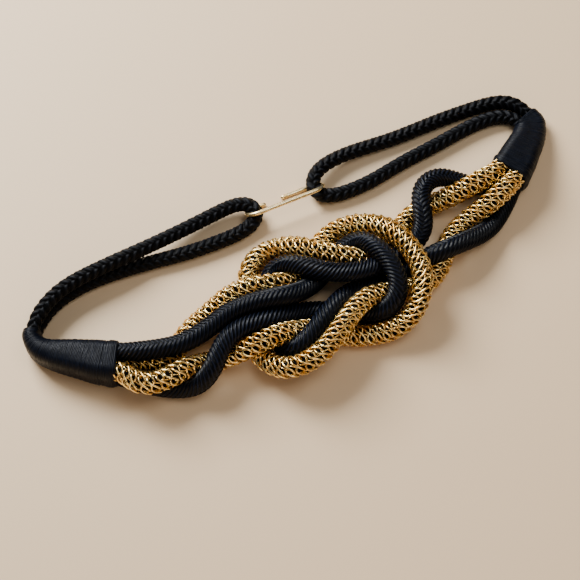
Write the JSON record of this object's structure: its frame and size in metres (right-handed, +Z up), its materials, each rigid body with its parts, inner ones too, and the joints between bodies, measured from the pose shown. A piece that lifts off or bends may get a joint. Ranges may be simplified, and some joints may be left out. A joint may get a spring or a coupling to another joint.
{
  "type": "rope belt",
  "caption": "Belt of black and gold cords tied in a reef knot at the front, with wound sleeves, cord loops round the back and an open wire hook.",
  "frame": {"origin": "middle of the belt's bounding box, on the surface that it lies on", "axes": "+X along the belt to the right wrap, +Y to the back of the waist where the hook is, +Z up from the surface"},
  "size_m": [0.3862, 0.1417, 0.0342],
  "materials": {
    "black_braid": "satin herringbone braid",
    "black_plait": "matte plait",
    "whipping_thread": "satin wound thread",
    "gold_wire": "bright knitted wire",
    "pale_gold": "satin pale gold wire"
  },
  "bodies": {
    "root": {"knot_black_left": "black_braid", "knot_black_right": "black_braid", "knot_gold_core_left": "black_braid", "knot_gold_core_right": "black_braid", "knot_gold_sleeve_left": "gold_wire", "knot_gold_sleeve_right": "gold_wire", "back_loop_left": "black_plait", "back_loop_right": "black_plait", "wrap_left": "whipping_thread", "wrap_right": "whipping_thread", "hook": "pale_gold"}
  },
  "joints": []
}
